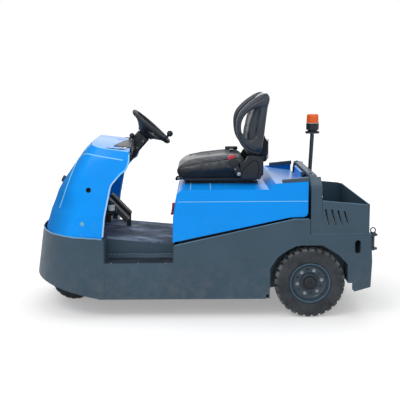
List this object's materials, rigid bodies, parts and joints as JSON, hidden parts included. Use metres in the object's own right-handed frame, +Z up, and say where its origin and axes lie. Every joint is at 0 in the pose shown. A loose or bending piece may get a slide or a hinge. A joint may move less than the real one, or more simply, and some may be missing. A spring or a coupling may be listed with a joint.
{
  "type": "airport baggage tug",
  "caption": "Small three-wheel electric airport baggage tug with a blue rounded cowl and battery hood, grey lower body, open rear bin, seat, beacon and rear tow jaw.",
  "frame": {"origin": "centre of the bounding box, on the ground plane", "axes": "+X towards the rear, +Y towards the driver's right, +Z up"},
  "size_m": [2.1697, 0.94, 1.318],
  "materials": {
    "body_blue": "bright azure gloss paint",
    "body_grey": "slate blue-grey satin paint",
    "frame_black": "black satin paint",
    "rim_grey": "grey painted steel",
    "tyre_rubber": "black tyre rubber",
    "black_plastic": "moulded black plastic",
    "black_rubber": "black rubber",
    "seat_vinyl": "black seat vinyl",
    "buckle_red": "red moulded plastic",
    "handle_red": "dark red moulded plastic",
    "amber_lens": "amber clear plastic",
    "bright_steel": "zinc plated steel",
    "battery_case": "steel battery case"
  },
  "bodies": {
    "chassis": {"accelerator_pedal": "black_rubber", "battery_block": "battery_case", "beacon_base": "black_plastic", "beacon_lens": "amber_lens", "beacon_pole": "frame_black", "brake_pedal": "black_rubber", "cargo_bin": "body_grey", "chassis_frame": "frame_black", "counterweight": "body_grey", "cowl": "body_blue", "direction_lever": "black_plastic", "floor_plate": "black_rubber", "front_bumper": "body_grey", "front_lamp": "black_plastic", "hitch_bracket": "body_grey", "hoop_frame": "body_grey", "inner_panel": "body_blue", "pedal_bracket": "frame_black", "rear_axle": "frame_black", "side_body_left": "body_grey", "side_body_right": "body_grey", "steering_column": "black_plastic"},
    "steer_fork": {"steer_fork": "frame_black"},
    "front_wheel": {"front_rim": "rim_grey", "front_tyre": "tyre_rubber"},
    "rear_wheel_left": {"rear_rim_left": "rim_grey", "rear_tyre_left": "tyre_rubber"},
    "rear_wheel_right": {"rear_rim_right": "rim_grey", "rear_tyre_right": "tyre_rubber"},
    "steering_wheel": {"steering_wheel": "black_rubber", "steering_knob": "black_plastic"},
    "hood": {"battery_hood": "body_blue", "hood_rail_left": "body_grey", "hood_rail_right": "body_grey", "seat_rails": "frame_black", "stop_handle": "handle_red"},
    "seat": {"seat_frame": "black_plastic", "seat_cushion": "seat_vinyl", "seat_backrest": "seat_vinyl", "seat_wing_left": "seat_vinyl", "seat_wing_right": "seat_vinyl", "seat_hinge_cover_left": "black_plastic", "seat_hinge_cover_right": "black_plastic", "document_pouch": "black_plastic", "belt_buckle": "buckle_red"},
    "tow_pin": {"tow_pin": "bright_steel"}
  },
  "joints": [
    {"name": "steer_pivot", "type": "hinge", "parent": "chassis", "child": "steer_fork", "pos_m": [-0.867, 0, 0.32], "axis": [0, 0, 1], "range_deg": [-75, 75]},
    {"name": "front_wheel_roll", "type": "hinge", "parent": "steer_fork", "child": "front_wheel", "pos_m": [-0.867, 0, 0.148], "axis": [0, 1, 0], "continuous": true},
    {"name": "rear_left_wheel_roll", "type": "hinge", "parent": "chassis", "child": "rear_wheel_left", "pos_m": [0.59, -0.408, 0.2075], "axis": [0, 1, 0], "continuous": true},
    {"name": "rear_right_wheel_roll", "type": "hinge", "parent": "chassis", "child": "rear_wheel_right", "pos_m": [0.59, 0.408, 0.2075], "axis": [0, 1, 0], "continuous": true},
    {"name": "steering_wheel_turn", "type": "hinge", "parent": "chassis", "child": "steering_wheel", "pos_m": [-0.403, 0, 1.057], "axis": [0.671, 0, 0.7415], "range_deg": [-600, 600]},
    {"name": "hood_hinge", "type": "hinge", "parent": "chassis", "child": "hood", "pos_m": [0.571, 0, 0.826], "axis": [0, 1, 0], "range_deg": [0, 30]},
    {"name": "seat_slide", "type": "slide", "parent": "hood", "child": "seat", "axis": [1, 0, 0], "range_m": [-0.06, 0.06]},
    {"name": "tow_pin_lift", "type": "slide", "parent": "chassis", "child": "tow_pin", "axis": [0, 0, 1], "range_m": [0, 0.13]}
  ],
  "couplings": [
    {"joint": "steering_wheel_turn", "follows": "steer_pivot", "ratio": 8}
  ]
}
